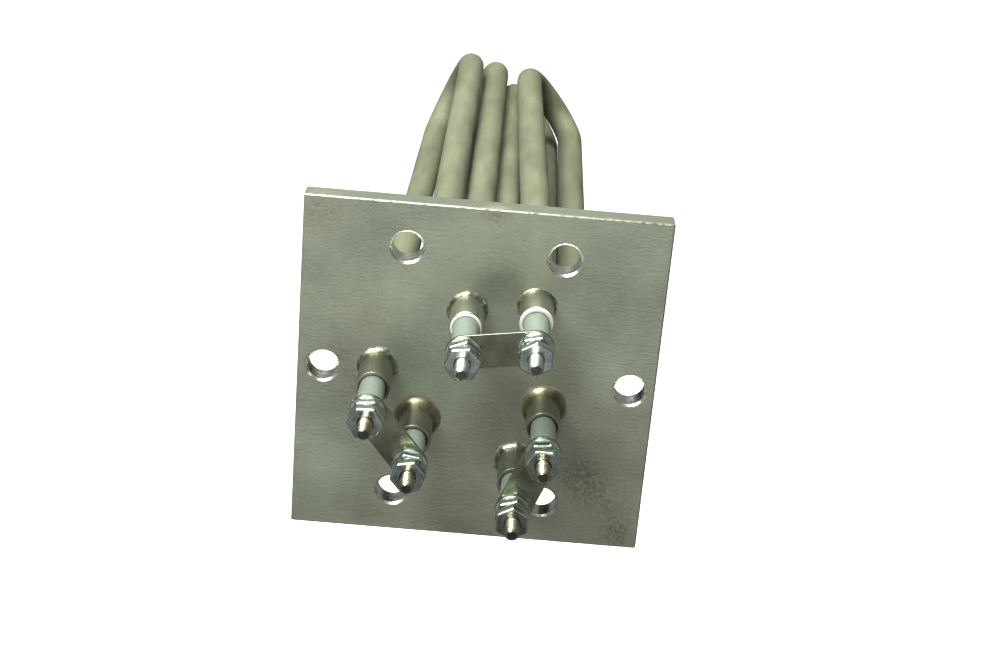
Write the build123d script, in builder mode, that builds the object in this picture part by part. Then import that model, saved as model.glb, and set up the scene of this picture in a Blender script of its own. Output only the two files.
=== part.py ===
from build123d import *
import os
from math import atan2, cos, degrees, radians, sin, tan

# Flanged immersion heater: a square plate that carries three folded tubular elements.
# Millimetres. +Z is up, the plate stands upright, its back (gasket) face is at Y = 0 with
# the origin at its centre, the terminals point along -Y and the tubes along +Y.
# Angles are anticlockwise from +X as seen from the terminal side.

# Sheath tubes
element_count = 3
sheath_dia = 9.525
sheath_wall = 0.9
tube_gap = 0.5
outer_ring_pitches = 2.813
terminal_ring_pitches = 2.095
return_ring_pitches = 1.304
outer_terminal_angle = 57.4
outer_return_angle = 0.0
inner_return_angle = 68.7
inner_terminal_angle = 100.5

# Lengths of the tubes behind the plate
outer_reach = 234.0
inner_reach = 249.7
fold_depth = 20.0
bend_depth = 29.0
bore_clearance = 5.0
settling_radius = 100.0
bend_crown_flat = 0.8

# Leans of the legs at the far end, in X and Z, as they were bent by hand.
# One row for each element: outer terminal, outer return, inner return, inner terminal.
leg_leans = (
    ((-4.7, 0.7), (0.6, 1.7), (0.5, 0.5), (0.3, -0.5)),
    ((4.1, -2.1), (2.1, 4.7), (-0.3, 0.5), (1.6, 0.6)),
    ((-0.8, -1.2), (0.6, -1.0), (0.3, -0.6), (-0.4, -0.7)),
)

# Flange plate
plate_thickness = 6.35
plate_margin = 2.8
plate_corner = 0.6
plate_edge_break = 0.4
gasket_land = 6.34
bolt_count = 6
bolt_hole = 8.7
bolt_hole_chamfer = 0.65
tube_hole_fit = 0.08

# Root welds, where each tube leaves the front of the plate
weld_leg = 1.6
weld_height = 1.5
weld_fit = 0.04

# Terminals, in the order of their places: 1 and 2 at the top, 3 and 4 at the left, 5 and 6 at the right.
# Odd numbers are on the outer ring. Heights are above the plate's front face.
mouth_heights = (12.8, 12.8, 14.7, 15.2, 14.2, 14.2)
upper_nut_turns = (31.0, 8.0, 2.0, 10.0, 30.0, -2.0)
lower_nut_turns = (14.0, 22.0, 5.0, -8.0, 18.0, 6.0)
insulator_top = 28.5
insulator_insert = 8.0
insulator_gap = 0.26
insulator_chamfer = 0.5
pin_dia = 4.17
pin_tip_chamfer = 1.0
pin_projection = 6.2
pin_depth = 14.0
pin_fit = 0.06
coil_dia = 3.4
magnesia_fit = 0.05
link_width = 9.7
link_thickness = 1.0
washer_dia = 9.5
washer_thickness = 0.8
washer_play = 0.2
nut_across_flats = 8.73
nut_height = 3.1
nut_face_inset = 0.2
nut_chamfer_angle = 30.0
lock_washer_dia = 7.4
lock_washer_thickness = 1.0
lock_washer_split = 0.9

# Sizes that follow from the ones above
tube_pitch = sheath_dia + tube_gap
outer_ring = outer_ring_pitches * tube_pitch
terminal_ring = terminal_ring_pitches * tube_pitch
return_ring = return_ring_pitches * tube_pitch
sheath_radius = sheath_dia / 2
bore_radius = sheath_radius - sheath_wall
bolt_ring = outer_ring + sheath_radius + gasket_land + bolt_hole / 2
plate_side = 2 * (bolt_ring + bolt_hole / 2 + plate_margin)
third = 360 / element_count
pin_radius = pin_dia / 2
pin_passage = pin_radius + pin_fit
bore_depth = bend_depth - bore_clearance
nut_cone_radius = nut_across_flats / 2 - nut_face_inset + nut_height / tan(radians(nut_chamfer_angle))
link_seat = plate_thickness + insulator_top
washer_seat = link_seat + link_thickness
lower_nut_seat = washer_seat + washer_thickness
lock_washer_seat = lower_nut_seat + nut_height
upper_nut_seat = lock_washer_seat + lock_washer_thickness
pin_tip = upper_nut_seat + nut_height + pin_projection

os.makedirs("parts", exist_ok=True)


def station(height):
    """Plane across the heater at a height in front of the plate's back face."""
    return Plane.XZ.offset(height)


def ring_place(radius, angle):
    """Place on a ring about the heater's axis, in the local X and Y of a station."""
    return radius * cos(radians(angle)), radius * sin(radians(angle))


def terminal_place(number):
    """Place of one of the six terminals."""
    turn = third * ((number - 1) // 2)
    if number % 2:
        return ring_place(outer_ring, outer_terminal_angle + turn)
    return ring_place(terminal_ring, inner_terminal_angle + turn)


def element_terminals(element):
    """Numbers of an element's outer and inner terminals."""
    outer = 2 * element - 1
    return outer, (outer - 1) or 2 * element_count


def keep(piece, name):
    """Label a finished piece and write it."""
    piece.part.label = name
    export_step(piece.part, f"parts/{name}.step")


def element_route(element):
    """Corners of an element's centreline and the radius at each, from mouth to mouth."""
    turn = third * (element - 1)
    legs = (
        ring_place(outer_ring, outer_terminal_angle + turn),
        ring_place(outer_ring, outer_return_angle + turn),
        ring_place(return_ring, inner_return_angle + turn),
        ring_place(terminal_ring, inner_terminal_angle - third + turn),
    )
    ends = [(x + dx, z + dz) for (x, z), (dx, dz) in zip(legs, leg_leans[element - 1])]
    outer_mouth, inner_mouth = (
        -plate_thickness - mouth_heights[number - 1] for number in element_terminals(element)
    )
    stops = (
        (legs[0], outer_mouth),
        (legs[0], bend_depth),
        (ends[0], outer_reach),
        (ends[1], outer_reach),
        (legs[1], fold_depth),
        (legs[2], fold_depth),
        (ends[2], inner_reach),
        (ends[3], inner_reach),
        (legs[3], bend_depth),
        (legs[3], inner_mouth),
    )
    corners = [Vector(x, depth, z) for (x, z), depth in stops]
    radii = [settling_radius]
    for first, second in ((2, 3), (4, 5), (6, 7)):
        spacing = (corners[first] - corners[second]).length
        radii += [(spacing - bend_crown_flat) / 2] * 2
    return corners, radii + [settling_radius]


# Flange plate with its bolt holes and tube holes
with BuildPart() as flange_plate:
    with BuildSketch(station(0)):
        RectangleRounded(plate_side, plate_side, plate_corner)
    extrude(amount=plate_thickness)
    chamfer(flange_plate.faces().sort_by(Axis.Y)[0].edges(), plate_edge_break)
    with BuildSketch(station(0)):
        with PolarLocations(bolt_ring, bolt_count):
            Circle(bolt_hole / 2)
        with Locations(*[terminal_place(number) for number in range(1, 2 * element_count + 1)]):
            Circle(sheath_radius + tube_hole_fit)
    extrude(amount=plate_thickness, mode=Mode.SUBTRACT)
    front_rims = flange_plate.edges().filter_by(GeomType.CIRCLE).group_by(Axis.Y)[0]
    chamfer(front_rims.filter_by(lambda rim: abs(rim.radius - bolt_hole / 2) < 0.01), bolt_hole_chamfer)
keep(flange_plate, "flange_plate")

# Folded sheaths. The bore holds the cold end of each pin. Past it the swaged tube, its
# packed magnesia and the resistance coil are one sealed body and stay one solid, so
# each coil is drawn only where its two ends reach out of that body to the pins.
for element in range(1, element_count + 1):
    corners, radii = element_route(element)
    with BuildPart() as sheath:
        with BuildLine():
            centreline = FilletPolyline(*corners, radius=radii)
        with BuildSketch(Plane(corners[0], z_dir=(0, 1, 0))):
            Circle(sheath_radius)
        sweep()
        for mouth in (corners[0], corners[-1]):
            with BuildSketch(Plane(mouth, z_dir=(0, 1, 0))):
                Circle(bore_radius)
            extrude(amount=bore_depth - mouth.Y, mode=Mode.SUBTRACT)
    keep(sheath, f"sheath_{element}")
    print(f"sheath_{element}: length {centreline.length:.1f}, tightest bend {min(radii):.1f}")

    with BuildPart() as resistance_coil:
        with BuildSketch(station(-bore_depth)):
            with Locations(*[terminal_place(number) for number in element_terminals(element)]):
                Circle(coil_dia / 2)
        extrude(amount=bore_depth - pin_depth)
    keep(resistance_coil, f"resistance_coil_{element}")

# Terminal pieces, from the plate outwards
for number in range(1, 2 * element_count + 1):
    place = terminal_place(number)
    mouth = plate_thickness + mouth_heights[number - 1]
    insulator_foot = mouth - insulator_insert

    with BuildPart() as root_weld:
        with BuildSketch(station(plate_thickness)):
            with Locations(place):
                Circle(sheath_radius + weld_leg)
        extrude(amount=weld_height, taper=45)
        with BuildSketch(station(plate_thickness)):
            with Locations(place):
                Circle(sheath_radius + weld_fit)
        extrude(amount=weld_height, mode=Mode.SUBTRACT)
    keep(root_weld, f"root_weld_{number}")

    with BuildPart() as magnesia_packing:
        with BuildSketch(station(-pin_depth)):
            with Locations(place):
                Circle(bore_radius - magnesia_fit)
                Circle(pin_passage, mode=Mode.SUBTRACT)
        extrude(amount=pin_depth + insulator_foot)
    keep(magnesia_packing, f"magnesia_packing_{number}")

    with BuildPart() as terminal_pin:
        with BuildSketch(station(-pin_depth)):
            with Locations(place):
                Circle(pin_radius)
        extrude(amount=pin_depth + pin_tip)
        chamfer(terminal_pin.edges().sort_by(Axis.Y)[0], pin_tip_chamfer)
    keep(terminal_pin, f"terminal_pin_{number}")

    with BuildPart() as insulator:
        with BuildSketch(station(insulator_foot)):
            with Locations(place):
                Circle(bore_radius - insulator_gap)
        extrude(amount=link_seat - insulator_foot)
        chamfer(insulator.edges().sort_by(Axis.Y)[0], insulator_chamfer)
        with BuildSketch(station(insulator_foot)):
            with Locations(place):
                Circle(pin_passage)
        extrude(amount=link_seat - insulator_foot, mode=Mode.SUBTRACT)
    keep(insulator, f"insulator_{number}")

    with BuildPart() as flat_washer:
        with BuildSketch(station(washer_seat)):
            with Locations(place):
                Circle(washer_dia / 2)
                Circle(pin_radius + washer_play, mode=Mode.SUBTRACT)
        extrude(amount=washer_thickness)
    keep(flat_washer, f"flat_washer_{number}")

    with BuildPart() as lock_washer:
        with BuildSketch(station(lock_washer_seat)):
            with Locations(place):
                Circle(lock_washer_dia / 2)
                Circle(pin_radius + washer_play, mode=Mode.SUBTRACT)
                Rectangle(
                    lock_washer_dia, lock_washer_split, align=(Align.MIN, Align.CENTER), mode=Mode.SUBTRACT
                )
        extrude(amount=lock_washer_thickness)
    keep(lock_washer, f"lock_washer_{number}")

    for name, seat, turn in (
        ("lower_nut", lower_nut_seat, lower_nut_turns[number - 1]),
        ("upper_nut", upper_nut_seat, upper_nut_turns[number - 1]),
    ):
        with BuildPart() as nut:
            with BuildSketch(station(seat)):
                with Locations(place):
                    RegularPolygon(nut_across_flats / 2, 6, major_radius=False, rotation=turn)
            extrude(amount=nut_height)
            with BuildSketch(station(seat)):
                with Locations(place):
                    Circle(nut_cone_radius)
            extrude(amount=nut_height, taper=90 - nut_chamfer_angle, mode=Mode.INTERSECT)
            with BuildSketch(station(seat)):
                with Locations(place):
                    Circle(pin_passage)
            extrude(amount=nut_height, mode=Mode.SUBTRACT)
        keep(nut, f"{name}_{number}")

# Link bars, each across the two terminals of a pair
for pair in range(1, element_count + 1):
    first, second = (Vector(*terminal_place(number)) for number in (2 * pair - 1, 2 * pair))
    middle = (first + second) / 2
    span = (second - first).length
    angle = degrees(atan2(second.Y - first.Y, second.X - first.X))
    with BuildPart() as link_bar:
        with BuildSketch(station(link_seat)):
            with Locations(Location(middle, angle)):
                SlotCenterToCenter(span, link_width)
            with Locations(first, second):
                Circle(pin_radius + washer_play, mode=Mode.SUBTRACT)
        extrude(amount=link_thickness)
    keep(link_bar, f"link_bar_{pair}")
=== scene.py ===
import math

import bmesh
import bpy
from mathutils import Matrix, Vector, noise


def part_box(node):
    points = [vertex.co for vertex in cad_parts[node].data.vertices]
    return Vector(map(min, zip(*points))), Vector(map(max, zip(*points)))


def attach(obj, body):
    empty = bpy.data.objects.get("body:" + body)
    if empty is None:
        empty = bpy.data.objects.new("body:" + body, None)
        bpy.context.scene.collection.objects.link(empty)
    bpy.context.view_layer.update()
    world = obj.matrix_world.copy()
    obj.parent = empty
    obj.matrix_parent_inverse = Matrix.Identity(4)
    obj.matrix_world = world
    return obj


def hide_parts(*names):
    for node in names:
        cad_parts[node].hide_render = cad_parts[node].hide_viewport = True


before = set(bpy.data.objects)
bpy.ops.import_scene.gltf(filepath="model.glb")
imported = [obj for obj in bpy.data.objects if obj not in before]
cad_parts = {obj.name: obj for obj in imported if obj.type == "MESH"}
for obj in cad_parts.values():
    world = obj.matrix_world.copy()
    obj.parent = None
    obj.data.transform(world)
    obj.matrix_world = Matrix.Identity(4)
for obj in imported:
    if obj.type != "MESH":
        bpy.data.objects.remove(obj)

bl_info = {
    "name": "Flanged Heater Looks",
    "version": (1, 0, 0),
    "blender": (4, 5, 0),
    "location": "View3D > Sidebar > Heater",
    "description": "Finished surfaces and small detail for a flanged immersion heater",
    "category": "Object",
}

MM = 0.001
BODY = "root"
TERMINALS = range(1, 7)
ELEMENTS = range(1, 4)
THIRD = math.radians(120)
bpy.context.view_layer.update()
PLATE_LOW, PLATE_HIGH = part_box("flange_plate")
MIX_FACTOR, MIX_A, MIX_B, MIX_RESULT = 0, 6, 7, 2


def settings(context):
    """The panel's three groups of settings."""
    scene = context.scene
    return scene.heater_tubes, scene.heater_terminals, scene.heater_studio


def middle(node):
    """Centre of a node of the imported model."""
    low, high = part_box(node)
    return (low + high) / 2


def terminal_axis(number):
    """Place of a terminal's axis, at the height of the plate's back face."""
    centre = middle(f"terminal_pin_{number}")
    return Vector((centre.x, 0.0, centre.z))


def ring_place(radius, angle):
    """Place on a ring about the heater's axis, anticlockwise from +X as the terminals are seen."""
    return Vector((radius * math.cos(angle), 0.0, radius * math.sin(angle)))


# Colours and nodes


def linear(code):
    """Linear colour of an sRGB hex value such as "8f9a84"."""
    parts = [int(code[place:place + 2], 16) / 255 for place in (0, 2, 4)]
    low = [part / 12.92 if part <= 0.04045 else ((part + 0.055) / 1.055) ** 2.4 for part in parts]
    return (*low, 1.0)


def put(tree, kind, inputs=None, **values):
    """Add a node, set its properties, and fill or link its inputs."""
    node = tree.nodes.new(kind)
    for name, value in values.items():
        setattr(node, name, value)
    for socket, value in (inputs or {}).items():
        if isinstance(value, bpy.types.NodeSocket):
            tree.links.new(value, node.inputs[socket])
        else:
            node.inputs[socket].default_value = value
    return node


def per_mm(x, y, z):
    """Mapping scale that makes one noise cell that many millimetres long."""
    return (1 / (x * MM), 1 / (y * MM), 1 / (z * MM))


def start_material(name, metallic, roughness):
    """An empty material with its shader and the object coordinates."""
    material = bpy.data.materials.new(name)
    material.use_nodes = True
    tree = material.node_tree
    tree.nodes.clear()
    shader = put(tree, "ShaderNodeBsdfPrincipled", {"Metallic": metallic, "Roughness": roughness})
    put(tree, "ShaderNodeOutputMaterial", {"Surface": shader.outputs[0]})
    where = put(tree, "ShaderNodeTexCoord").outputs["Object"]
    return material, tree, shader, where


def noise_field(tree, where, cell_mm, detail, rough=0.5):
    """Noise whose cells measure so many millimetres along X, Y and Z."""
    cells = put(tree, "ShaderNodeMapping", {"Vector": where, "Scale": per_mm(*cell_mm)})
    field = put(tree, "ShaderNodeTexNoise", {
        "Vector": cells.outputs[0], "Scale": 1.0, "Detail": detail, "Roughness": rough})
    return field.outputs[0]


def mix(tree, factor, first, second):
    """Blend of two colours."""
    return put(tree, "ShaderNodeMix", {MIX_FACTOR: factor, MIX_A: first, MIX_B: second},
               data_type="RGBA").outputs[MIX_RESULT]


def ramp(tree, value, low, high, to_low=0.0, to_high=1.0, smooth_step=False):
    """A value's range from low to high, turned to a new range."""
    return put(tree, "ShaderNodeMapRange", {
        "Value": value, "From Min": low, "From Max": high, "To Min": to_low, "To Max": to_high},
        interpolation_type="SMOOTHSTEP" if smooth_step else "LINEAR").outputs[0]


def arithmetic(tree, operation, first, second):
    """Sum, product or other result of two values."""
    return put(tree, "ShaderNodeMath", {0: first, 1: second}, operation=operation).outputs[0]


def gathered(tree, where, places):
    """Sum of soft spots round places on the front face, each with X, Z, reach and strength, in mm."""
    total = None
    for x, z, reach, amount in places:
        away = put(tree, "ShaderNodeVectorMath", {0: where, 1: (x * MM, PLATE_LOW.y, z * MM)}, operation="DISTANCE")
        near = ramp(tree, away.outputs["Value"], 0.0, reach * MM, amount, 0.0, True)
        total = near if total is None else arithmetic(tree, "ADD", total, near)
    return total


def rolled_plate_steel():
    """Mill-finish rolled steel plate: a satin grey skin with fine level orange-peel from rolling, dull
    mottling, painted shade round the terminals and on the top face, a broken painted highlight along the top front
    arris and a few soft patches of rust speckle."""
    material, tree, shader, where = start_material("rolled_plate_steel", 0.65, 0.38)
    clouds = noise_field(tree, where, (24, 24, 20), 4.0)
    peel = noise_field(tree, where, (2.2, 2.2, 0.75), 2.0)
    grit = noise_field(tree, where, (0.45, 0.45, 0.45), 2.0)
    skin = mix(tree, ramp(tree, clouds, 0.3, 0.7), linear(PLATE_DARK), linear(PLATE_LIGHT))
    # Painted shade: the face is darkened round the terminals, where their shadows and dark reflections fall
    painted_shade = arithmetic(tree, "SUBTRACT", 1.0, gathered(tree, where, PAINTED_SHADE_PLACES))
    shade = arithmetic(tree, "MULTIPLY", ramp(tree, peel, 0.3, 0.7, 0.95, 1.05), ramp(tree, grit, 0.3, 0.7, 0.94, 1.06))
    shade = arithmetic(tree, "MULTIPLY", shade, painted_shade)
    skin = put(tree, "ShaderNodeVectorMath", {0: skin, "Scale": shade}, operation="SCALE").outputs[0]

    # Rust: a soft brown stain with darker specks in it
    specks = noise_field(tree, where, (1.1, 1.1, 1.1), 4.0, 0.6)
    near_rust = gathered(tree, where, RUST_PLACES)
    stain = arithmetic(tree, "MULTIPLY", near_rust, ramp(tree, specks, 0.38, 0.62, 0.2, 1.7))
    stained = mix(tree, stain, skin, linear("54493a"))

    # The sheared top face is painted darker: painted shade that tones down the light falling on it from above. The
    # arris where the top edge meets the face is painted dark, with a broken painted highlight along it
    apart = put(tree, "ShaderNodeSeparateXYZ", {0: where})
    edge = ramp(tree, apart.outputs["Z"], PLATE_HIGH.z - 0.1 * MM, PLATE_HIGH.z - 0.05 * MM)
    stained = mix(tree, edge, stained, linear(PLATE_TOP_SHADE))
    top = ramp(tree, apart.outputs["Z"], PLATE_HIGH.z - 0.6 * MM, PLATE_HIGH.z - 0.35 * MM)
    front = ramp(tree, apart.outputs["Y"], PLATE_LOW.y + 0.5 * MM, PLATE_LOW.y + 0.2 * MM)
    broken = ramp(tree, noise_field(tree, where, (2.2, 2.2, 2.2), 4.0, 0.7), 0.38, 0.52)
    arris = arithmetic(tree, "MULTIPLY", top, front)
    stained = mix(tree, arris, stained, linear("50554a"))
    # Painted highlight: a broken bright line along the top front arris
    arris_highlight = arithmetic(tree, "MULTIPLY", arris, broken)
    tree.links.new(mix(tree, arris_highlight, stained, linear("969c89")), shader.inputs["Base Color"])
    tree.links.new(arithmetic(tree, "SUBTRACT", 0.65, arithmetic(tree, "MULTIPLY", stain, 0.6)),
                   shader.inputs["Metallic"])
    gloss = ramp(tree, clouds, 0.3, 0.7, 0.34, 0.42)
    tree.links.new(arithmetic(tree, "ADD", gloss, arithmetic(tree, "MULTIPLY", stain, 0.4)),
                   shader.inputs["Roughness"])
    relief = arithmetic(tree, "ADD", peel, arithmetic(tree, "MULTIPLY", grit, 0.5))
    bump = put(tree, "ShaderNodeBump", {"Height": relief, "Distance": 0.07 * MM, "Strength": 0.7})
    tree.links.new(bump.outputs[0], shader.inputs["Normal"])
    return material


def annealed_alloy_tube():
    """Annealed alloy tube: a pale matte oxide on the heated length with fine drawing marks along it,
    and a smoother satin skin with a faint straw tint on the cold ends in front of the plate, painted darker as painted
    shade the lower they sit."""
    material, tree, shader, where = start_material("annealed_alloy_tube", 0.2, 0.7)
    drawn = noise_field(tree, where, (0.7, 16, 0.7), 3.0)
    cloud = noise_field(tree, where, (7, 24, 7), 5.0)
    oxide = mix(tree, ramp(tree, cloud, 0.3, 0.7), linear(OXIDE_DARK), linear(OXIDE_LIGHT))
    cold = mix(tree, ramp(tree, cloud, 0.35, 0.65), linear(COLD_DARK), linear(COLD_LIGHT))
    apart = put(tree, "ShaderNodeSeparateXYZ", {0: where})
    ahead = ramp(tree, apart.outputs["Y"], PLATE_LOW.y + 1 * MM, PLATE_LOW.y - 1 * MM)
    heat = arithmetic(tree, "MULTIPLY", ramp(tree, apart.outputs["Y"], PLATE_LOW.y - 6 * MM, PLATE_LOW.y - 1 * MM),
                      ramp(tree, noise_field(tree, where, (5, 4, 5), 3.0), 0.42, 0.62, 0.0, 0.6))
    cold = mix(tree, heat, cold, linear(STRAW_TINT))
    # Painted shade: the cold ends are painted darker the lower they sit on the plate
    low_stub_shade = ramp(tree, apart.outputs["Z"], 2 * MM, 18 * MM, 0.62, 1.0)
    cold = put(tree, "ShaderNodeVectorMath", {0: cold, "Scale": low_stub_shade}, operation="SCALE").outputs[0]
    skin = mix(tree, ahead, oxide, cold)
    streak = ramp(tree, drawn, 0.3, 0.7, 0.93, 1.06)
    skin = put(tree, "ShaderNodeVectorMath", {0: skin, "Scale": streak}, operation="SCALE").outputs[0]
    tree.links.new(skin, shader.inputs["Base Color"])
    tree.links.new(ramp(tree, ahead, 0.0, 1.0, 0.75, 0.34), shader.inputs["Roughness"])
    tree.links.new(ramp(tree, ahead, 0.0, 1.0, 0.15, 1.0), shader.inputs["Metallic"])
    bump = put(tree, "ShaderNodeBump", {"Height": drawn, "Distance": 0.02 * MM, "Strength": 0.3})
    tree.links.new(bump.outputs[0], shader.inputs["Normal"])
    return material


def metal(name, dark, light, roughness, cell_mm, relief_mm, rough_spread=0.1, sawn=False):
    """A bare or plated metal whose colour, gloss and relief drift a little over its surface. A stud's end is
    darker where it was sawn off."""
    material, tree, shader, where = start_material(name, 1.0, roughness)
    drift = noise_field(tree, where, cell_mm, 4.0)
    colour = mix(tree, ramp(tree, drift, 0.3, 0.7), linear(dark), linear(light))
    if sawn:
        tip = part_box("terminal_pin_1")[0].y
        depth = put(tree, "ShaderNodeSeparateXYZ", {0: where}).outputs["Y"]
        colour = mix(tree, ramp(tree, depth, tip + 0.3 * MM, tip + 0.1 * MM), colour, linear("5e6156"))
    tree.links.new(colour, shader.inputs["Base Color"])
    gloss = ramp(tree, drift, 0.3, 0.7, roughness - rough_spread / 2, roughness + rough_spread / 2)
    tree.links.new(gloss, shader.inputs["Roughness"])
    fine = noise_field(tree, where, (0.4, 0.4, 0.4), 2.0)
    bump = put(tree, "ShaderNodeBump", {"Height": fine, "Distance": relief_mm * MM, "Strength": 0.5})
    tree.links.new(bump.outputs[0], shader.inputs["Normal"])
    return material


def fired_ceramic(name, dark, light, roughness):
    """Fired steatite or pressed powder: an even, faintly cloudy body with a low sheen."""
    material, tree, shader, where = start_material(name, 0.0, roughness)
    body = noise_field(tree, where, (3, 3, 3), 4.0)
    tree.links.new(mix(tree, body, linear(dark), linear(light)), shader.inputs["Base Color"])
    bump = put(tree, "ShaderNodeBump", {"Height": body, "Distance": 0.02 * MM, "Strength": 0.3})
    tree.links.new(bump.outputs[0], shader.inputs["Normal"])
    return material


# Finishes, as sRGB hex: plate, with the painted shade on its top face, oxide on the heated tubes, cold ends of the
# tubes
PLATE_DARK, PLATE_LIGHT, PLATE_TOP_SHADE = "8b917f", "a6ad97", "757b69"
OXIDE_DARK, OXIDE_LIGHT = "51563f", "676d54"
COLD_DARK, COLD_LIGHT, STRAW_TINT = "a5a893", "c6c9b7", "9c8f5e"

# Places on the front face in X and Z, each with its reach in mm and its strength:
# rust speckle, then painted shade where the terminals and links cast shadows and dark reflections on the face
RUST_PLACES = (
    (34, -29, 15, 0.42), (43, -38, 13, 0.28), (40, -16, 8, 0.2), (-40, 3, 9, 0.42), (-33, -4, 8, 0.34),
    (-46, 46, 9, 0.3), (2, 50, 6, 0.4), (45, -47, 9, 0.45), (-30, 16, 10, 0.16), (20, 2, 8, 0.12),
)
PAINTED_SHADE_PLACES = (
    (10, -6, 34, 0.28), (30, -34, 26, 0.14), (-8, -30, 22, 0.08), (12, 26, 14, 0.12), (-38, -12, 16, 0.1),
)


# Meshes


def mesh_object(name, build):
    """Object whose mesh is filled by a bmesh function, with its faces turned outwards."""
    mesh = bpy.data.meshes.new(name)
    work = bmesh.new()
    build(work)
    bmesh.ops.remove_doubles(work, verts=work.verts, dist=0.001 * MM)
    bmesh.ops.recalc_face_normals(work, faces=work.faces)
    work.to_mesh(mesh)
    work.free()
    piece = bpy.data.objects.new(name, mesh)
    bpy.context.scene.collection.objects.link(piece)
    return piece


def skin_rings(work, rings, closed=False):
    """Quads between rings of equal count. Open ends get a flat face, a closed skin joins up."""
    loops = [[work.verts.new(point) for point in ring] for ring in rings]
    pairs = list(zip(loops, loops[1:]))
    if closed:
        pairs.append((loops[-1], loops[0]))
    count = len(loops[0])
    for lower, upper in pairs:
        for place in range(count):
            after = (place + 1) % count
            work.faces.new((lower[place], lower[after], upper[after], upper[place]))
    if not closed:
        work.faces.new(loops[0])
        work.faces.new(loops[-1])


def turned_ring(radius, height, steps, centre=Vector()):
    """Ring of a turned shape. Heights run towards the viewer, along -Y. Radius may be a function of the angle."""
    points = []
    for step in range(steps):
        angle = 2 * math.pi * step / steps
        reach = radius(angle) if callable(radius) else radius
        rise = height(angle) if callable(height) else height
        points.append(centre + Vector((reach * math.cos(angle), -rise, reach * math.sin(angle))))
    return points


def rounded(points, radius, steps=4):
    """Closed or open profile points with every corner rounded by up to that radius."""
    out = [points[0]]
    for before, corner, after in zip(points, points[1:], points[2:]):
        here = Vector(corner)
        back, ahead = Vector(before) - here, Vector(after) - here
        reach = min(radius, back.length * 0.45, ahead.length * 0.45)
        start, end = here + back.normalized() * reach, here + ahead.normalized() * reach
        for step in range(steps + 1):
            share = step / steps
            out.append(tuple((1 - share) ** 2 * start + 2 * share * (1 - share) * here + share ** 2 * end))
    out.append(points[-1])
    return out


def turned(name, profile, steps, closed=False):
    """Turned piece about -Y from its profile of radius and height."""
    def build(work):
        skin_rings(work, [turned_ring(radius, height, steps) for radius, height in profile], closed)
    return mesh_object(name, build)


def smooth(mesh, degrees=35):
    """Smooth shading with sharp edges above an angle."""
    mesh.shade_smooth()
    work = bmesh.new()
    work.from_mesh(mesh)
    limit = math.radians(degrees)
    for edge in work.edges:
        edge.smooth = len(edge.link_faces) == 2 and edge.calc_face_angle(math.pi) < limit
    work.to_mesh(mesh)
    work.free()


def settle(piece, nodes):
    """The finished piece rides on the body and stands for its nodes."""
    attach(piece, BODY)
    if nodes:
        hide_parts(*nodes)
    return piece


def plain_mesh(source, name):
    """Plain object made from the evaluated result of a Geometry Nodes object, which is then removed."""
    evaluated = source.evaluated_get(bpy.context.evaluated_depsgraph_get())
    mesh = bpy.data.meshes.new_from_object(evaluated)
    mesh.name = name
    bpy.data.objects.remove(source)
    piece = bpy.data.objects.new(name, mesh)
    bpy.context.scene.collection.objects.link(piece)
    return piece


def dressed_copy(node, name, bevel_mm, material):
    """Copy of a node's mesh with its triangles merged and its sharp edges softened."""
    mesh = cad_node(node).data.copy()
    work = bmesh.new()
    work.from_mesh(mesh)
    bmesh.ops.remove_doubles(work, verts=work.verts, dist=0.002 * MM)
    bmesh.ops.dissolve_limit(work, angle_limit=math.radians(1.5), verts=work.verts, edges=work.edges)
    work.to_mesh(mesh)
    work.free()
    mesh.materials.clear()
    mesh.materials.append(material)
    piece = bpy.data.objects.new(name, mesh)
    bpy.context.scene.collection.objects.link(piece)
    soften = piece.modifiers.new("softened_edges", "BEVEL")
    soften.width = bevel_mm * MM
    soften.segments = 2
    soften.limit_method = "ANGLE"
    soften.angle_limit = math.radians(30)
    soften.harden_normals = True
    soften.material = 0
    smooth(mesh)
    return piece


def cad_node(node):
    """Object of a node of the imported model."""
    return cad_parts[node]


# Geometry Nodes trees


def set_out_tree(template, material):
    """Tree that sets a template on each point, turned about the terminal's axis by the point's own angle."""
    tree = bpy.data.node_groups.new("set_out_on_terminals", "GeometryNodeTree")
    tree.interface.new_socket("Points", in_out="INPUT", socket_type="NodeSocketGeometry")
    size = tree.interface.new_socket("Size", in_out="INPUT", socket_type="NodeSocketFloat")
    size.default_value = 1.0
    tree.interface.new_socket("Pieces", in_out="OUTPUT", socket_type="NodeSocketGeometry")
    given = put(tree, "NodeGroupInput")
    shape = put(tree, "GeometryNodeObjectInfo", {"Object": template})
    turn = put(tree, "GeometryNodeInputNamedAttribute", {"Name": "turn"}, data_type="FLOAT")
    rotation = put(tree, "ShaderNodeCombineXYZ", {"Y": turn.outputs[0]})
    placed = put(tree, "GeometryNodeInstanceOnPoints", {
        "Points": given.outputs[0], "Instance": shape.outputs["Geometry"], "Rotation": rotation.outputs[0],
        "Scale": given.outputs["Size"]})
    real = put(tree, "GeometryNodeRealizeInstances", {0: placed.outputs[0]})
    painted = put(tree, "GeometryNodeSetMaterial", {"Geometry": real.outputs[0], "Material": material})
    put(tree, "NodeGroupOutput", {0: painted.outputs[0]})
    return tree


def set_out(name, template, places, material):
    """The template at each (place, turn), as one plain mesh."""
    mesh = bpy.data.meshes.new(name)
    mesh.from_pydata([place for place, turn in places], [], [])
    turns = mesh.attributes.new("turn", "FLOAT", "POINT")
    for row, (place, turn) in zip(turns.data, places):
        row.value = turn
    carrier = bpy.data.objects.new(name + "_points", mesh)
    bpy.context.scene.collection.objects.link(carrier)
    modifier = carrier.modifiers.new("set_out", "NODES")
    modifier.node_group = set_out_tree(template, material)
    piece = plain_mesh(carrier, name)
    bpy.data.objects.remove(template)
    smooth(piece.data)
    return piece


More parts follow.
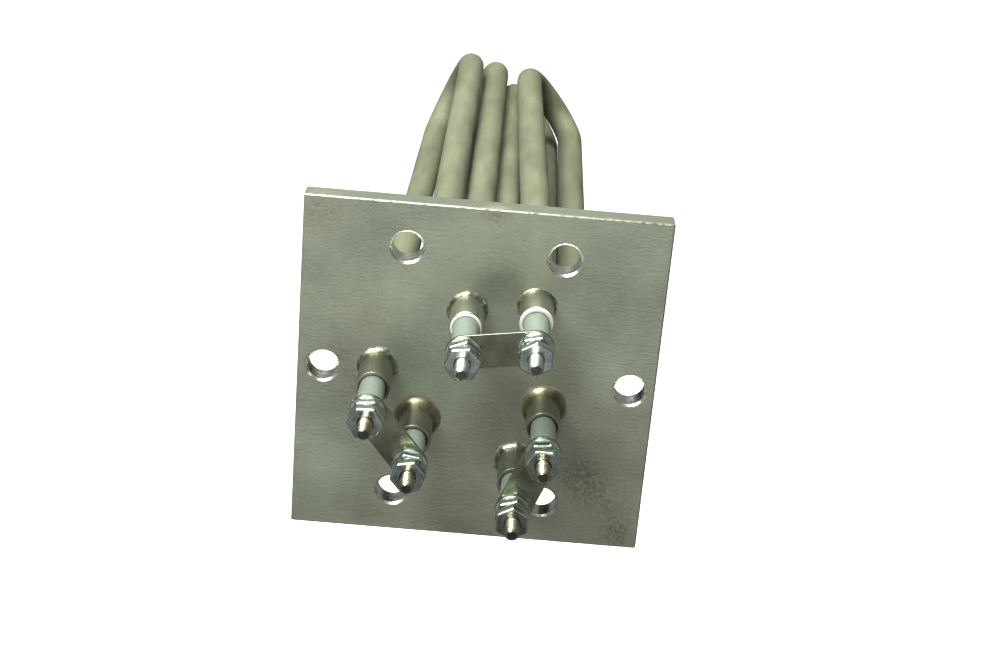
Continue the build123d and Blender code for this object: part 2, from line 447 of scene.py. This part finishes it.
def sweep_tree(material):
    """Tree that rounds the corners of a line by each corner's own radius and sweeps a tube along it."""
    tree = bpy.data.node_groups.new("bent_tube", "GeometryNodeTree")
    tree.interface.new_socket("Line", in_out="INPUT", socket_type="NodeSocketGeometry")
    tree.interface.new_socket("Tube Radius", in_out="INPUT", socket_type="NodeSocketFloat")
    tree.interface.new_socket("Sides", in_out="INPUT", socket_type="NodeSocketInt")
    tree.interface.new_socket("Bend Steps", in_out="INPUT", socket_type="NodeSocketInt")
    tree.interface.new_socket("Tube", in_out="OUTPUT", socket_type="NodeSocketGeometry")
    given = put(tree, "NodeGroupInput")
    line = put(tree, "GeometryNodeMeshToCurve", {0: given.outputs[0]})
    radius = put(tree, "GeometryNodeInputNamedAttribute", {"Name": "bend_radius"}, data_type="FLOAT")
    bent = put(tree, "GeometryNodeFilletCurve", {
        "Curve": line.outputs[0], "Radius": radius.outputs[0], "Count": given.outputs["Bend Steps"]}, mode="POLY")
    section = put(tree, "GeometryNodeCurvePrimitiveCircle", {
        "Resolution": given.outputs["Sides"], "Radius": given.outputs["Tube Radius"]}, mode="RADIUS")
    tube = put(tree, "GeometryNodeCurveToMesh", {
        "Curve": bent.outputs[0], "Profile Curve": section.outputs[0], "Fill Caps": True})
    real = put(tree, "GeometryNodeRealizeInstances", {0: tube.outputs[0]})
    painted = put(tree, "GeometryNodeSetMaterial", {"Geometry": real.outputs[0], "Material": material})
    put(tree, "NodeGroupOutput", {0: painted.outputs[0]})
    return tree


def swept_tube(name, corners, radii, tube_radius, material):
    """Bent tube along corner points, as one plain mesh."""
    mesh = bpy.data.meshes.new(name)
    mesh.from_pydata(corners, [(place, place + 1) for place in range(len(corners) - 1)], [])
    bends = mesh.attributes.new("bend_radius", "FLOAT", "POINT")
    for row, radius in zip(bends.data, [0.0, *radii, 0.0]):
        row.value = radius
    carrier = bpy.data.objects.new(name + "_line", mesh)
    bpy.context.scene.collection.objects.link(carrier)
    modifier = carrier.modifiers.new("sweep", "NODES")
    modifier.node_group = sweep_tree(material)
    sockets = {item.name: item.identifier for item in modifier.node_group.interface.items_tree}
    modifier[sockets["Tube Radius"]] = tube_radius
    modifier[sockets["Sides"]] = 48
    modifier[sockets["Bend Steps"]] = 20
    return plain_mesh(carrier, name)


# Settings


class HeaterTubeSettings(bpy.types.PropertyGroup):
    """Sizes of the folded tubes."""
    sheath_radius: bpy.props.FloatProperty(
        name="Sheath radius", description="Outer radius of the tubes", default=4.7625 * MM, unit="LENGTH", precision=5)
    wall: bpy.props.FloatProperty(
        name="Wall", description="Wall of the tubes", default=0.9 * MM, unit="LENGTH", precision=5)
    return_ring: bpy.props.FloatProperty(
        name="Return ring", description="Ring of the inner return legs", default=13.073 * MM, unit="LENGTH",
        precision=5)
    outer_reach: bpy.props.FloatProperty(
        name="Outer reach", description="Depth of the outer bends", default=234.0 * MM, unit="LENGTH", precision=4)
    inner_reach: bpy.props.FloatProperty(
        name="Inner reach", description="Depth of the inner bends", default=249.7 * MM, unit="LENGTH", precision=4)
    fold_depth: bpy.props.FloatProperty(
        name="Fold depth", description="Depth of the near folds", default=20.0 * MM, unit="LENGTH", precision=4)
    bend_depth: bpy.props.FloatProperty(
        name="Settling depth", description="Where the legs start to lean", default=29.0 * MM, unit="LENGTH",
        precision=4)


class HeaterTerminalSettings(bpy.types.PropertyGroup):
    """Sizes of the terminal fittings."""
    thread_pitch: bpy.props.FloatProperty(
        name="Thread pitch", description="Pitch of the stud thread", default=0.794 * MM, unit="LENGTH", precision=5)
    thread_depth: bpy.props.FloatProperty(
        name="Thread depth", description="Depth of the stud thread", default=0.45 * MM, unit="LENGTH", precision=5)
    tip_chamfer: bpy.props.FloatProperty(
        name="Tip chamfer", description="Chamfer of the stud's tip", default=0.95 * MM, unit="LENGTH", precision=5)
    insulator_insert: bpy.props.FloatProperty(
        name="Insulator insert", description="How deep an insulator sits in its tube", default=8.0 * MM,
        unit="LENGTH", precision=4)


class HeaterStudioSettings(bpy.types.PropertyGroup):
    """Floor and light."""
    floor_drop: bpy.props.FloatProperty(
        name="Floor drop", description="How far the floor lies below the plate", default=0.16, unit="LENGTH")
    floor_colour: bpy.props.FloatVectorProperty(
        name="Floor colour", description="Pale floor", default=linear("f6f7f0")[:3], subtype="COLOR", size=3)
    floor_glow: bpy.props.FloatProperty(name="Floor glow", description="Light from under the white floor", default=0.55)
    sky: bpy.props.FloatProperty(name="Sky", description="Strength of the even light", default=0.17)
    key: bpy.props.FloatProperty(name="Key", description="Power of the upper left softbox", default=26.0, unit="POWER")
    tube_light: bpy.props.FloatProperty(
        name="Tube light", description="Power of the softbox over the tubes", default=5.0, unit="POWER")


# Leans of the legs at the far end, in X and Z in mm, one row for each element
LEG_LEANS = (
    ((-4.7, 0.7), (0.6, 1.7), (0.5, 0.5), (0.3, -0.5)),
    ((4.1, -2.1), (2.1, 4.7), (-0.3, 0.5), (1.6, 0.6)),
    ((-0.8, -1.2), (0.6, -1.0), (0.3, -0.6), (-0.4, -0.7)),
)
OUTER_RETURN_ANGLE = 0.0
INNER_RETURN_ANGLE = math.radians(68.7)
SETTLING_RADIUS = 100 * MM
CROWN_FLAT = 0.8 * MM


def element_route(tubes, element, start_inset):
    """Corner points and bend radii of one element's line, from one mouth to the other."""
    turn = THIRD * (element - 1)
    outer = 2 * element - 1
    inner = (outer - 1) or 6
    legs = (
        terminal_axis(outer),
        ring_place(terminal_axis(1).length, OUTER_RETURN_ANGLE + turn),
        ring_place(tubes.return_ring, INNER_RETURN_ANGLE + turn),
        terminal_axis(inner),
    )
    ends = [leg + Vector((x * MM, 0, z * MM)) for leg, (x, z) in zip(legs, LEG_LEANS[element - 1])]
    stops = (
        (legs[0], mouth_depth(outer) + start_inset),
        (legs[0], tubes.bend_depth),
        (ends[0], tubes.outer_reach),
        (ends[1], tubes.outer_reach),
        (legs[1], tubes.fold_depth),
        (legs[2], tubes.fold_depth),
        (ends[2], tubes.inner_reach),
        (ends[3], tubes.inner_reach),
        (legs[3], tubes.bend_depth),
        (legs[3], mouth_depth(inner) + start_inset),
    )
    corners = [Vector((place.x, depth, place.z)) for place, depth in stops]
    radii = [SETTLING_RADIUS]
    for first, second in ((2, 3), (4, 5), (6, 7)):
        radii += [((corners[first] - corners[second]).length - CROWN_FLAT) / 2] * 2
    return corners, radii + [SETTLING_RADIUS]


def mouth_depth(number):
    """Y of a tube's mouth, from the foot of its insulator."""
    insert = bpy.context.scene.heater_terminals.insulator_insert
    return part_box(f"insulator_{number}")[1].y - insert


# Operators


# Ring of the bolt holes, and the radius inside which a hole's walls are freshly machined, in mm
BOLT_RING, BOLT_RIM = 43.653, 4.9


class HEATER_OT_flange(bpy.types.Operator):
    """Dress the flange plate"""
    bl_idname = "heater.flange"
    bl_label = "Flange plate"

    def execute(self, context):
        plate = dressed_copy("flange_plate", "square_flange", 0.12, rolled_plate_steel())
        plate.data.materials.append(metal("machined_hole_steel", "b9beae", "e0e4d8", 0.3, (2, 2, 2), 0.03))
        centres = [ring_place(BOLT_RING * MM, math.radians(60 * hole)) for hole in range(6)]
        for face in plate.data.polygons:
            flat = Vector((face.center.x, 0, face.center.z))
            if min((flat - centre).length for centre in centres) < BOLT_RIM * MM:
                face.material_index = 1
        settle(plate, ["flange_plate"])
        return {"FINISHED"}


class HEATER_OT_tubes(bpy.types.Operator):
    """Sweep the three folded sheaths and turn their mouths"""
    bl_idname = "heater.tubes"
    bl_label = "Folded sheaths"

    def execute(self, context):
        tubes, terminals, studio = settings(context)
        material = annealed_alloy_tube()
        inset = terminals.insulator_insert * 0.9
        for element in ELEMENTS:
            corners, radii = element_route(tubes, element, inset)
            tube = swept_tube(f"folded_sheath_{element}", corners, radii, tubes.sheath_radius, material)
            outer = 2 * element - 1
            rims = [mouth_wall(tubes, number, inset) for number in (outer, (outer - 1) or 6)]
            for rim in rims:
                rim.data.materials.append(material)
            join(tube, rims)
            smooth(tube.data, 40)
            settle(tube, [f"sheath_{element}"])
        return {"FINISHED"}


# How far each mouth's lip is rolled: the two top mouths are closed in on their insulators
LIP_ROUNDS = {1: 0.42, 2: 0.36, 3: 0.12, 4: 0.2, 5: 0.15, 6: 0.15}


def mouth_wall(tubes, number, inset):
    """Open end of a tube, from its lip back to where the solid line of the tube starts."""
    lip = -mouth_depth(number)
    foot = lip - inset
    outside, bore = tubes.sheath_radius, tubes.sheath_radius - tubes.wall
    roll = LIP_ROUNDS[number] * MM
    profile = [(outside, foot + 1e-5), (outside, lip), (bore, lip), (bore, foot + 1e-5)]
    wall = turned("mouth_wall", rounded(profile, roll, 5), 48, closed=True)
    wall.data.transform(Matrix.Translation(terminal_axis(number)))
    return wall


# Sealing beads in the two top mouths: inner and outer radius and rise above the mouth, in mm
BEADS = {1: (3.55, 4.7, 1.1), 2: (3.55, 4.35, 0.7)}


class HEATER_OT_beads(bpy.types.Operator):
    """Run the pale sealing beads round the two top insulators"""
    bl_idname = "heater.beads"
    bl_label = "Sealing beads"

    def execute(self, context):
        material = fired_ceramic("cured_sealing_cement", "aeb4a4", "dfe3d8", 0.35)
        for number, (inner, outer, rise) in BEADS.items():
            mouth = -mouth_depth(number) / MM
            profile = [(inner, mouth - 0.6), (outer, mouth - 0.6), (outer, mouth + rise), (inner, mouth + rise)]
            profile = [(reach * MM, height * MM) for reach, height in profile]
            bead = turned(f"mouth_bead_{number}", rounded([*profile, profile[0]], 0.5 * MM, 6)[1:], 64, closed=True)
            bead.data.transform(Matrix.Translation(terminal_axis(number)))
            bead.data.materials.append(material)
            smooth(bead.data, 60)
            settle(bead, [])
        return {"FINISHED"}


def join(target, others):
    """Add other objects' meshes to a piece."""
    work = bmesh.new()
    work.from_mesh(target.data)
    for other in others:
        work.from_mesh(other.data)
        bpy.data.objects.remove(other)
    work.to_mesh(target.data)
    work.free()


# Spread on the plate and rise up the tube of each root fillet, in mm. Terminals 4 and 6 are brazed full and
# smooth, the others have only a thin uneven bead.
FILLETS = {1: (0.9, 1.0), 2: (1.0, 1.4), 3: (1.3, 1.8), 4: (2.1, 3.4), 5: (1.3, 1.7), 6: (2.0, 3.2)}


class HEATER_OT_fillets(bpy.types.Operator):
    """Turn the uneven root fillets round the tubes"""
    bl_idname = "heater.fillets"
    bl_label = "Root fillets"

    def execute(self, context):
        full = metal("smooth_brazed_fillet", "77775f", "a19e82", 0.42, (4, 4, 4), 0.03)
        thin = metal("uneven_weld_bead", "6f6f5f", "b9bba9", 0.36, (1.3, 1.3, 1.3), 0.06, 0.2)
        for name, numbers, material in (
            ("full_root_fillets", (4, 6), full), ("thin_root_fillets", (1, 2, 3, 5), thin)
        ):
            piece = mesh_object(name, lambda work: [fillet(context, work, number) for number in numbers])
            piece.data.materials.append(material)
            smooth(piece.data, 60)
            settle(piece, [f"root_weld_{number}" for number in numbers])
        return {"FINISHED"}


def fillet(context, work, number):
    """Hollow fillet round one tube, a little uneven in its reach."""
    axis, foot = terminal_axis(number), -PLATE_LOW.y
    inside = context.scene.heater_tubes.sheath_radius + 0.01 * MM
    leg, height = (size * MM for size in FILLETS[number])
    unevenness, steps, rows = (0.08 if leg > 1.5 * MM else 0.3), 96, 8

    def uneven(angle):
        out = Vector((math.cos(angle), math.sin(angle), 0))
        wide = noise.noise(out * 1.3 + Vector((0, 0, number * 7.3)))
        fine = noise.noise(out * 5.0 + Vector((0, 0, number * 3.1)))
        return 1 + unevenness * (1.4 * wide + 0.6 * fine)

    rings = [turned_ring(inside, foot, steps, axis)]
    for row in range(rows + 1):
        share = row / rows * math.pi / 2
        rings.append(turned_ring(
            lambda angle: inside + leg * uneven(angle) * (1 - math.sin(share)),
            lambda angle: foot + height * uneven(angle) * (1 - math.cos(share)), steps, axis))
    skin_rings(work, rings, closed=True)


class HEATER_OT_insulators(bpy.types.Operator):
    """Turn the ceramic insulators"""
    bl_idname = "heater.insulators"
    bl_label = "Insulators"

    def execute(self, context):
        material = fired_ceramic("fired_steatite", "5f6b61", "757f73", 0.4)
        nodes = [f"insulator_{number}" for number in TERMINALS]
        pieces = []
        for number, node in zip(TERMINALS, nodes):
            low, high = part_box(node)
            radius = (high.x - low.x) / 2
            bore = (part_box("terminal_pin_1")[1].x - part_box("terminal_pin_1")[0].x) / 2 + 0.06 * MM
            top, foot = -low.y, -high.y
            profile = [(bore, foot), (radius, foot), (radius, top - 0.5 * MM), (radius - 0.5 * MM, top), (bore, top)]
            piece = turned(node + "_turned", rounded(profile, 0.25 * MM, 4), 48, closed=True)
            piece.data.transform(Matrix.Translation(terminal_axis(number)))
            pieces.append(piece)
        first = pieces[0]
        join(first, pieces[1:])
        first.name = "ceramic_insulators"
        first.data.materials.append(material)
        smooth(first.data)
        settle(first, nodes)
        return {"FINISHED"}


class HEATER_OT_studs(bpy.types.Operator):
    """Cut the threaded studs and set them out"""
    bl_idname = "heater.studs"
    bl_label = "Threaded studs"

    def execute(self, context):
        frosty = metal("dulled_nickel_thread", "a9aea2", "d3d6cb", 0.36, (1, 1, 1), 0.05, sawn=True)
        warm = metal("nickel_plated_thread", "989375", "c6c1a6", 0.24, (2, 2, 2), 0.02, sawn=True)
        for name, numbers, material in (
            ("top_studs", (1, 2), frosty), ("lower_studs", (3, 4, 5, 6), warm)
        ):
            template = stud_template(context)
            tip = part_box("terminal_pin_1")[0].y
            places = [(terminal_axis(number) + Vector((0, tip, 0)), 0.9 * number) for number in numbers]
            piece = set_out(name, template, places, material)
            settle(piece, [f"terminal_pin_{number}" for number in numbers])
        return {"FINISHED"}


def stud_template(context):
    """Stud with its tip at the origin. The thread is a helical groove, cut down by the tip's chamfer."""
    terminals = context.scene.heater_terminals
    low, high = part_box("terminal_pin_1")
    radius, length = (high.x - low.x) / 2, high.y - low.y
    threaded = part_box("insulator_1")[0].y - low.y
    steps, per_turn = 36, 8
    pitch, depth, chamfer = terminals.thread_pitch, terminals.thread_depth, terminals.tip_chamfer
    rows = int(threaded / pitch * per_turn)

    def reach(angle, below):
        groove = abs(((below / pitch - angle / (2 * math.pi)) % 1) - 0.5) * 2
        fade = min(1.0, max(0.0, (threaded - below) / pitch))
        return min(radius - depth * groove * fade, radius - chamfer + below)

    def build(work):
        rings = [turned_ring(radius - chamfer - 0.1 * MM, 0.0, steps), turned_ring(radius - chamfer, 0.0, steps)]
        for row in range(1, rows + 1):
            below = threaded * row / rows
            rings.append(turned_ring(lambda a, b=below: reach(a, b), -below, steps))
        rings.append(turned_ring(radius, -threaded - 0.1 * MM, steps))
        rings.append(turned_ring(radius, -length, steps))
        skin_rings(work, rings)
    return mesh_object("stud_template", build)


class HEATER_OT_nuts(bpy.types.Operator):
    """Cut the hexagon nuts and set them out on the studs"""
    bl_idname = "heater.nuts"
    bl_label = "Hexagon nuts"

    def execute(self, context):
        material = metal("bright_zinc_plate", "a5b1aa", "cdd7d1", 0.17, (3, 3, 3), 0.02)
        for name, node, turns in (
            ("upper_nuts", "upper_nut", UPPER_NUT_TURNS), ("lower_nuts", "lower_nut", LOWER_NUT_TURNS)
        ):
            places = [
                (terminal_axis(number) + Vector((0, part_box(f"{node}_{number}")[1].y, 0)), -math.radians(turn))
                for number, turn in zip(TERMINALS, turns)
            ]
            piece = set_out(name, nut_template(), places, material)
            settle(piece, [f"{node}_{number}" for number in TERMINALS])
        return {"FINISHED"}


# Turns of the nuts about their studs, in degrees, terminals 1 to 6
UPPER_NUT_TURNS = (31.0, 8.0, 2.0, 10.0, 30.0, -2.0)
LOWER_NUT_TURNS = (14.0, 22.0, 5.0, -8.0, 18.0, 6.0)


def rounded_hexagon(half_flat, corner, angle):
    """Distance from the centre to a hexagon with rounded corners, with a corner at angle zero."""
    half_side = math.radians(30)
    off = angle % (2 * half_side)
    off = min(off, 2 * half_side - off)
    centre = (half_flat - corner) / math.cos(half_side)
    if half_side - off < math.atan((half_flat - corner) * math.tan(half_side) / half_flat):
        return half_flat / math.cos(half_side - off)
    return centre * math.cos(off) + math.sqrt(corner ** 2 - (centre * math.sin(off)) ** 2)


def nut_template():
    """Pressed nut that stands on the origin, with its rims bevelled and its thread's mouth countersunk."""
    low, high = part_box("upper_nut_5")
    half_flat, height = (high.x - low.x) / 2, high.y - low.y
    bore, steps = 2.14 * MM, 120
    rim = ((0.42, 0.0), (0.38, 0.0), (0.3, 0.04), (0.1, 0.2), (0.02, 0.36), (0.0, 0.44))

    def outline(inset):
        return lambda angle: rounded_hexagon(half_flat - inset * MM, 0.7 * MM, angle)

    def build(work):
        sink = [(bore, 0.35 * MM), (bore + 0.18 * MM, 0.0), (bore + 0.22 * MM, 0.0)]
        rings = [turned_ring(radius, rise, steps) for radius, rise in sink]
        rings += [turned_ring(outline(inset), rise * MM, steps) for inset, rise in rim]
        rings += [turned_ring(outline(inset), height - rise * MM, steps) for inset, rise in reversed(rim)]
        rings += [turned_ring(radius, height - rise, steps) for radius, rise in reversed(sink)]
        skin_rings(work, rings, closed=True)
    return mesh_object("nut_template", build)


class HEATER_OT_washers(bpy.types.Operator):
    """Stamp the flat and split washers and set them out"""
    bl_idname = "heater.washers"
    bl_label = "Washers"

    def execute(self, context):
        material = metal("zinc_plated_washer", "98a49b", "c6cfc6", 0.3, (2, 2, 2), 0.04)
        for name, node, make in (
            ("flat_washers", "flat_washer", flat_washer_template),
            ("split_washers", "lock_washer", split_washer_template),
        ):
            places = [
                (terminal_axis(number) + Vector((0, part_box(f"{node}_{number}")[1].y, 0)), 1.3 * number)
                for number in TERMINALS
            ]
            piece = set_out(name, make(), places, material)
            settle(piece, [f"{node}_{number}" for number in TERMINALS])
        return {"FINISHED"}


def flat_washer_template():
    """Flat washer that lies on the origin."""
    low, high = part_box("flat_washer_1")
    radius, height, bore = (high.x - low.x) / 2, high.y - low.y, 2.285 * MM
    profile = [(bore, 0.0), (radius, 0.0), (radius, height), (bore, height)]
    return turned("flat_washer_template", rounded(profile, 0.18 * MM), 64, closed=True)


def split_washer_template():
    """Split spring washer that lies on the origin, with its ends sprung a little apart."""
    low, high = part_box("lock_washer_1")
    radius, height, bore = (high.z - low.z) / 2, high.y - low.y, 2.285 * MM
    steps, gap = 60, math.radians(9)

    def build(work):
        rings = []
        for step in range(steps + 1):
            angle = gap / 2 + (2 * math.pi - gap) * step / steps
            out = Vector((math.cos(angle), 0, math.sin(angle)))
            corners = ((bore, 0.0), (radius, 0.0), (radius, height), (bore, height))
            section = rounded([*corners, corners[0]], 0.12 * MM, 2)[1:-1]
            rings.append([out * reach + Vector((0, -rise, 0)) for reach, rise in section])
        skin_rings(work, rings)
    return mesh_object("split_washer_template", build)


class HEATER_OT_links(bpy.types.Operator):
    """Dress the link bars"""
    bl_idname = "heater.links"
    bl_label = "Link bars"

    def execute(self, context):
        material = metal("plated_link_strip", "797d68", "9c9f88", 0.24, (9, 9, 9), 0.03)
        for pair in ELEMENTS:
            node = f"link_bar_{pair}"
            settle(dressed_copy(node, f"link_strip_{pair}", 0.16, material), [node])
        return {"FINISHED"}


class HEATER_OT_inner(bpy.types.Operator):
    """Give the hidden magnesia and winding ends their own finish"""
    bl_idname = "heater.inner"
    bl_label = "Inner pieces"

    def execute(self, context):
        powder = fired_ceramic("packed_magnesia", "cfccc0", "e4e1d6", 0.85)
        wire = metal("resistance_wire", "5c5a55", "7d7a72", 0.4, (1, 1, 1), 0.05)
        for start, material in (("magnesia_packing", powder), ("resistance_coil", wire)):
            for node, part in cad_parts.items():
                if node.startswith(start):
                    part.data.materials.clear()
                    part.data.materials.append(material)
        return {"FINISHED"}


# Camera of the photograph: where it stands and aims, in mm, its roll and its lens
CAMERA_PLACE = (0.7, -477.25, 218.0)
CAMERA_AIM = (5.63, -6.35, 14.36)
CAMERA_ROLL = math.radians(5.035)
CAMERA_LENS = 66.0

# Soft patches of studio light: direction, spread in degrees and strength. The first is the broad light from
# the upper left, the next lights the plate's face from in front, the dark one is the gap beneath it, and the
# last is a faint light from behind.
STUDIO_LIGHT = (
    ((-0.35, -0.5, 0.8), 60, 0.7),
    ((-0.05, -0.97, -0.1), 42, 0.9),
    ((0, -0.86, -0.51), 17, -0.75),
    ((0, 0.9, 0.1), 60, 0.1),
)


class HEATER_OT_studio(bpy.types.Operator):
    """Set the floor, the light and the camera"""
    bl_idname = "heater.studio"
    bl_label = "Studio"

    def execute(self, context):
        tubes, terminals, studio = settings(context)
        scene = context.scene
        scene.view_settings.view_transform = "Standard"
        world = bpy.data.worlds.new("studio_light")
        world.use_nodes = True
        tree = world.node_tree
        facing = put(tree, "ShaderNodeTexCoord").outputs["Generated"]
        light = None
        for direction, spread, strength in STUDIO_LIGHT:
            aim = Vector(direction).normalized()
            toward = put(tree, "ShaderNodeVectorMath", {0: facing, 1: aim}, operation="DOT_PRODUCT").outputs["Value"]
            patch = ramp(tree, toward, math.cos(math.radians(spread)), 1.0, 0.0, strength, True)
            light = arithmetic(tree, "ADD", studio.sky if light is None else light, patch)
        tree.links.new(light, tree.nodes["Background"].inputs["Strength"])
        tree.nodes["Background"].inputs["Color"].default_value = (1, 1, 1, 1)
        scene.world = world

        floor_paint, tree, shader, where = start_material("lit_white_acrylic", 0.0, 0.9)
        shader.inputs["Base Color"].default_value = (*studio.floor_colour, 1)
        shader.inputs["Emission Color"].default_value = (*studio.floor_colour, 1)
        shader.inputs["Emission Strength"].default_value = studio.floor_glow
        level = PLATE_LOW.z - studio.floor_drop
        half = 6.0

        def build(work):
            corners = [(-half, -half, level), (half, -half, level), (half, half, level), (-half, half, level)]
            work.faces.new([work.verts.new(corner) for corner in corners])
        floor = mesh_object("pale_floor", build)
        floor.data.materials.append(floor_paint)
        floor.visible_diffuse = floor.visible_glossy = False

        for name, place, size, watts in (
            ("key_softbox", (-0.45, -0.35, 0.95), 0.6, studio.key),
            ("tube_softbox", (-0.05, 0.2, 0.55), 0.3, studio.tube_light),
        ):
            lamp = bpy.data.lights.new(name, "AREA")
            lamp.size = size
            lamp.energy = watts
            box = bpy.data.objects.new(name, lamp)
            box.location = place
            box.rotation_euler = (Vector((0, 0, 0)) - Vector(place)).to_track_quat("-Z", "Y").to_euler()
            scene.collection.objects.link(box)

        camera = bpy.data.objects.new("photo_camera", bpy.data.cameras.new("photo_camera"))
        place, aim = Vector(CAMERA_PLACE) * MM, Vector(CAMERA_AIM) * MM
        facing = (aim - place).to_track_quat("-Z", "Y").to_matrix() @ Matrix.Rotation(CAMERA_ROLL, 3, "Z")
        camera.matrix_world = Matrix.Translation(place) @ facing.to_4x4()
        camera.data.lens = CAMERA_LENS
        camera.data.sensor_width = 36
        camera.data.clip_start = 0.01
        scene.collection.objects.link(camera)
        scene.camera = camera
        return {"FINISHED"}


class HEATER_PT_panel(bpy.types.Panel):
    """Settings and steps of the heater's looks"""
    bl_idname = "HEATER_PT_panel"
    bl_label = "Flanged heater"
    bl_space_type = "VIEW_3D"
    bl_region_type = "UI"
    bl_category = "Heater"

    def draw(self, context):
        for group in settings(context):
            box = self.layout.box()
            for name in group.__annotations__:
                box.prop(group, name)
        for step in STEPS:
            self.layout.operator(step.bl_idname)


STEPS = (
    HEATER_OT_flange, HEATER_OT_tubes, HEATER_OT_fillets, HEATER_OT_beads, HEATER_OT_insulators, HEATER_OT_studs,
    HEATER_OT_nuts, HEATER_OT_washers, HEATER_OT_links, HEATER_OT_inner, HEATER_OT_studio,
)
CLASSES = (HeaterTubeSettings, HeaterTerminalSettings, HeaterStudioSettings, *STEPS, HEATER_PT_panel)


def register():
    """Register the classes and hang the settings on the scene."""
    for kind in CLASSES:
        bpy.utils.register_class(kind)
    bpy.types.Scene.heater_tubes = bpy.props.PointerProperty(type=HeaterTubeSettings)
    bpy.types.Scene.heater_terminals = bpy.props.PointerProperty(type=HeaterTerminalSettings)
    bpy.types.Scene.heater_studio = bpy.props.PointerProperty(type=HeaterStudioSettings)


def unregister():
    """Take the settings and the classes away again."""
    del bpy.types.Scene.heater_studio
    del bpy.types.Scene.heater_terminals
    del bpy.types.Scene.heater_tubes
    for kind in reversed(CLASSES):
        bpy.utils.unregister_class(kind)


def main():
    """Run every step."""
    register()
    bpy.ops.heater.studio()
    bpy.ops.heater.flange()
    bpy.ops.heater.tubes()
    bpy.ops.heater.fillets()
    bpy.ops.heater.beads()
    bpy.ops.heater.insulators()
    bpy.ops.heater.studs()
    bpy.ops.heater.nuts()
    bpy.ops.heater.washers()
    bpy.ops.heater.links()
    bpy.ops.heater.inner()


if __name__ == "__main__":
    main()
